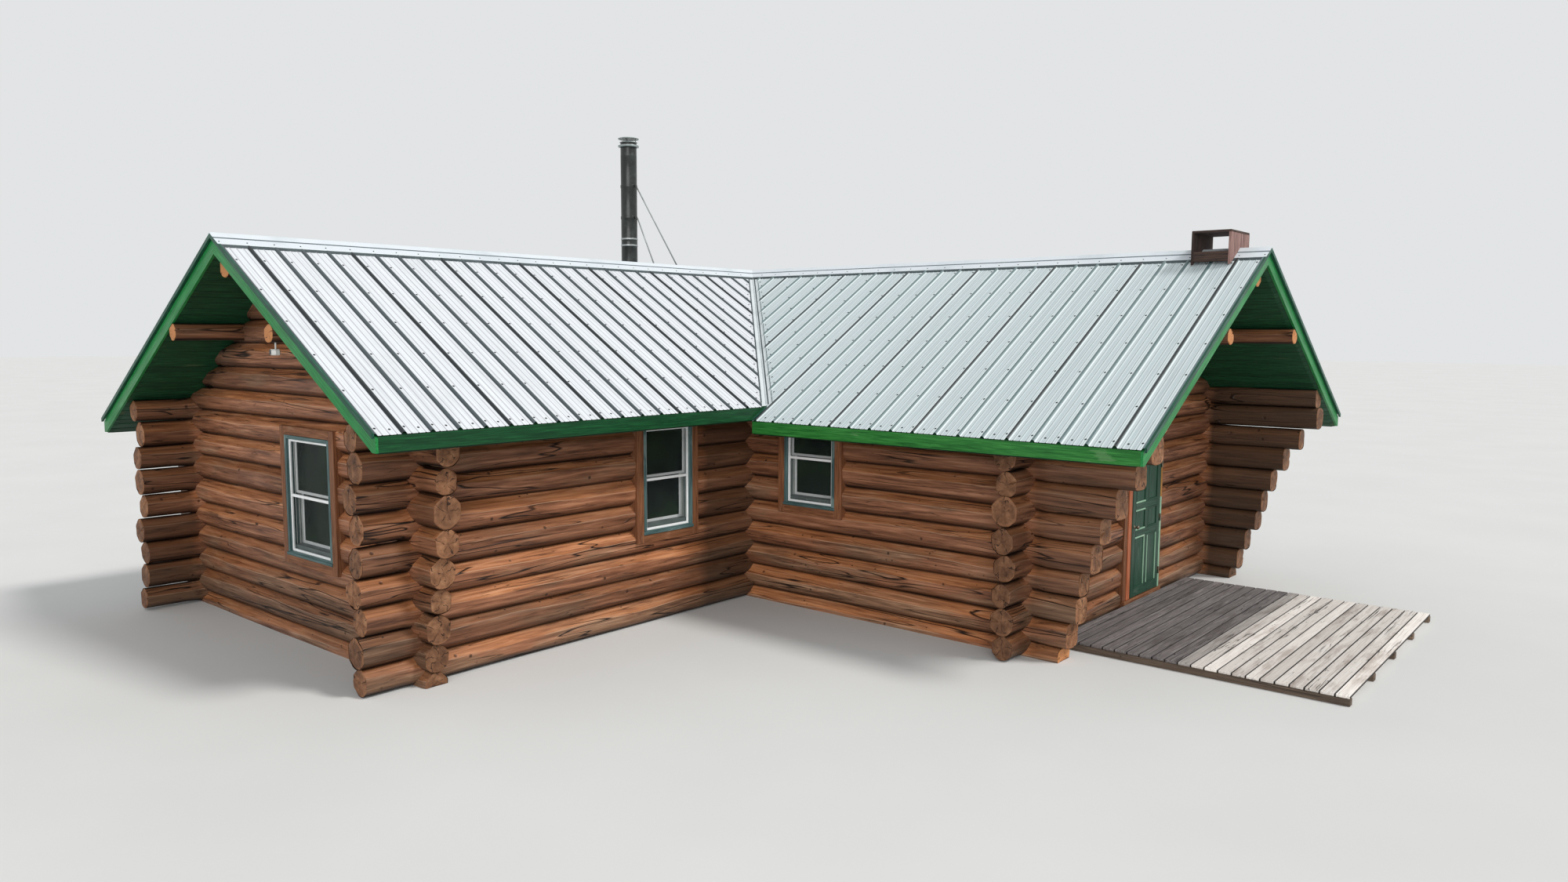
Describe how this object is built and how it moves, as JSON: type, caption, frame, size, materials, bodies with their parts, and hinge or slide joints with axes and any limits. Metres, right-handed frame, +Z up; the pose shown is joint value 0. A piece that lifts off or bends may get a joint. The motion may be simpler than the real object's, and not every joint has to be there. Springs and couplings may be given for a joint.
{
  "type": "log cabin",
  "caption": "L-shaped cabin of round stacked logs with crossed corners, a ribbed steel gable roof, a hinged entry door under a deep gable overhang, and a low deck.",
  "frame": {"origin": "foot of the walls, where the axes of the two walls at the inner corner of the L cross", "axes": "+X along the entry wing towards its door, +Y along the other wing away from its gable, +Z up"},
  "size_m": [14.075, 12.9179, 6.836],
  "materials": {
    "stained_log": "red-brown stain, satin",
    "soffit_board": "dark green paint",
    "roof_steel": "pale silver ribbed steel",
    "green_trim": "green paint, semi-gloss",
    "brown_casing": "brown stain",
    "green_frame": "teal-green paint",
    "white_sash": "white enamel",
    "window_glass": "clear",
    "door_paint": "dark green paint",
    "hinge_metal": "worn steel",
    "floor_board": "bare softwood",
    "deck_board": "weathered grey",
    "black_pipe": "black enamel",
    "weathered_board": "weathered brown",
    "camera_plastic": "white"
  },
  "bodies": {
    "cabin": {"chimney_box": "weathered_board", "deck_boards": "deck_board", "deck_sleepers": "deck_board", "door_frame": "brown_casing", "door_hinges_fixed": "hinge_metal", "door_threshold": "brown_casing", "east_wall_a": "stained_log", "eave_camera": "camera_plastic", "entry_wall_b_left": "stained_log", "entry_wall_b_over": "stained_log", "entry_wall_b_right": "stained_log", "fascia_a_east": "green_trim", "fascia_a_west": "green_trim", "fascia_b_north": "green_trim", "fascia_b_south": "green_trim", "floor_boards": "floor_board", "floor_joists": "floor_board", "gable_wall_a": "stained_log", "hip_cap": "roof_steel", "north_wall_b": "stained_log", "purlin_a_east": "stained_log", "purlin_a_west": "stained_log", "purlin_b_north": "stained_log", "purlin_b_south": "stained_log", "rake_boards_a": "green_trim", "rake_boards_b": "green_trim", "ridge_cap_a": "roof_steel", "ridge_cap_b": "roof_steel", "ridge_pole_a": "stained_log", "ridge_pole_b": "stained_log", "roof_boards_a_east": "soffit_board", "roof_boards_a_west": "soffit_board", "roof_boards_b_north": "soffit_board", "roof_boards_b_south": "soffit_board", "south_wall_b": "stained_log", "steel_a_east": "roof_steel", "steel_a_west": "roof_steel", "steel_b_north": "roof_steel", "steel_b_south": "roof_steel", "stove_pipe": "black_pipe", "stove_pipe_bands": "black_pipe", "stove_pipe_braces": "black_pipe", "stove_pipe_cap": "black_pipe", "stove_pipe_flashing": "roof_steel", "valley_flashing": "roof_steel", "west_wall_a": "stained_log", "window_casings": "brown_casing", "window_frames": "green_frame", "window_glass": "window_glass", "window_sashes": "white_sash"},
    "door": {"door_leaf": "door_paint", "door_hinges_swinging": "hinge_metal", "door_handles": "hinge_metal"}
  },
  "joints": [
    {"name": "entry_door_hinge", "type": "hinge", "parent": "cabin", "child": "door", "pos_m": [4.5674, 3.683, 1.161], "axis": [0, 0, 1], "range_deg": [0, 100]}
  ]
}
